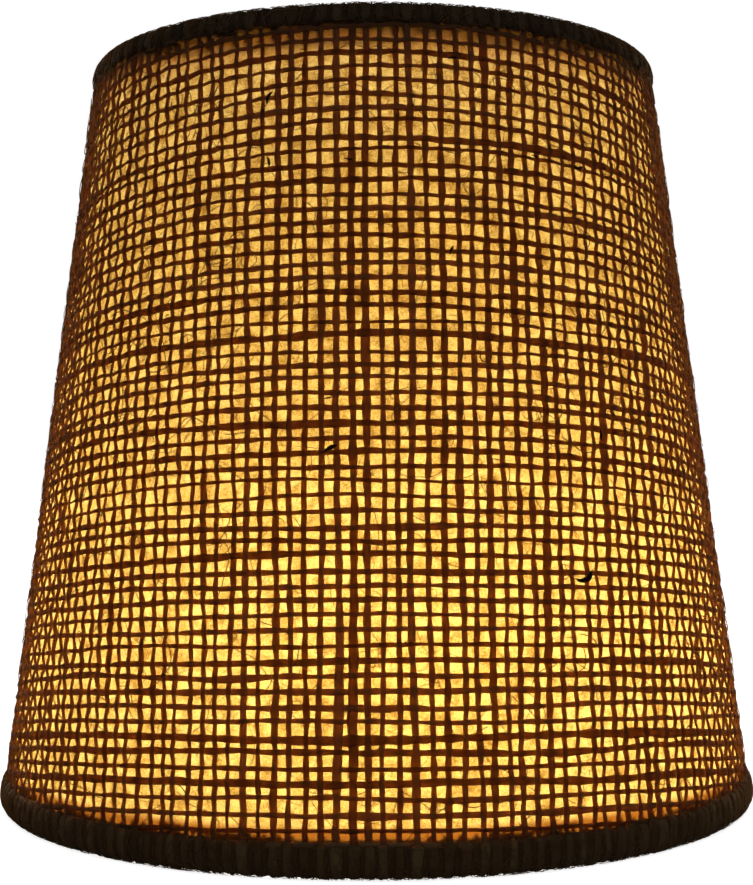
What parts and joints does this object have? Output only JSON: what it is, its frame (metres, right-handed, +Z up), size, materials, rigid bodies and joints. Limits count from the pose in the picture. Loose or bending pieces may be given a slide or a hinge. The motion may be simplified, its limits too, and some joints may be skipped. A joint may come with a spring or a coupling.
{
  "type": "lamp shade",
  "caption": "Small tapered clip-on lamp shade: open-weave burlap over a translucent liner, rolled hems, wire rings and a sprung clip for a candle bulb.",
  "frame": {"origin": "centre of the lower edge, in the plane that the shade stands on", "axes": "+Z up; +X to the right along the cross wire; +Y to the back, where the seam is"},
  "size_m": [0.131, 0.131, 0.127],
  "materials": {
    "burlap": "open plain-weave natural jute, matte and hairy",
    "burlap_trim": "the same jute folded round the ring, dense and matte",
    "liner": "translucent ivory sheet, satin",
    "tape": "thin ivory tape, matte",
    "wire": "bright drawn steel wire",
    "weld": "dull resistance-weld bead",
    "clip": "rolled spring-steel strip, plated",
    "spring": "plated spring wire, smooth"
  },
  "bodies": {
    "shade": {"cover": "burlap", "liner": "liner", "seam_tape": "tape", "top_trim": "burlap_trim", "bottom_trim": "burlap_trim", "top_ring": "wire", "bottom_ring": "wire", "cross_wire": "wire", "left_weld": "weld", "right_weld": "weld"},
    "clip": {"clip_saddle": "clip"},
    "hoop_front": {"front_hoop": "spring"},
    "hoop_rear": {"rear_hoop": "spring"}
  },
  "joints": [
    {"name": "clip_tilt", "type": "hinge", "parent": "shade", "child": "clip", "pos_m": [0, 0, 0.11224], "axis": [1, 0, 0], "range_deg": [-25, 25]},
    {"name": "rear_hoop_open", "type": "hinge", "parent": "clip", "child": "hoop_rear", "pos_m": [0, 0.005, 0.10724], "axis": [1, 0, 0], "range_deg": [0, 10], "stiffness_Nm_per_rad": 0.05, "springref_deg": -5.73},
    {"name": "front_hoop_open", "type": "hinge", "parent": "clip", "child": "hoop_front", "pos_m": [0, -0.005, 0.10724], "axis": [-1, 0, 0], "range_deg": [0, 10], "stiffness_Nm_per_rad": 0.05, "springref_deg": -5.73}
  ],
  "couplings": [
    {"joint": "front_hoop_open", "follows": "rear_hoop_open", "ratio": 1}
  ]
}
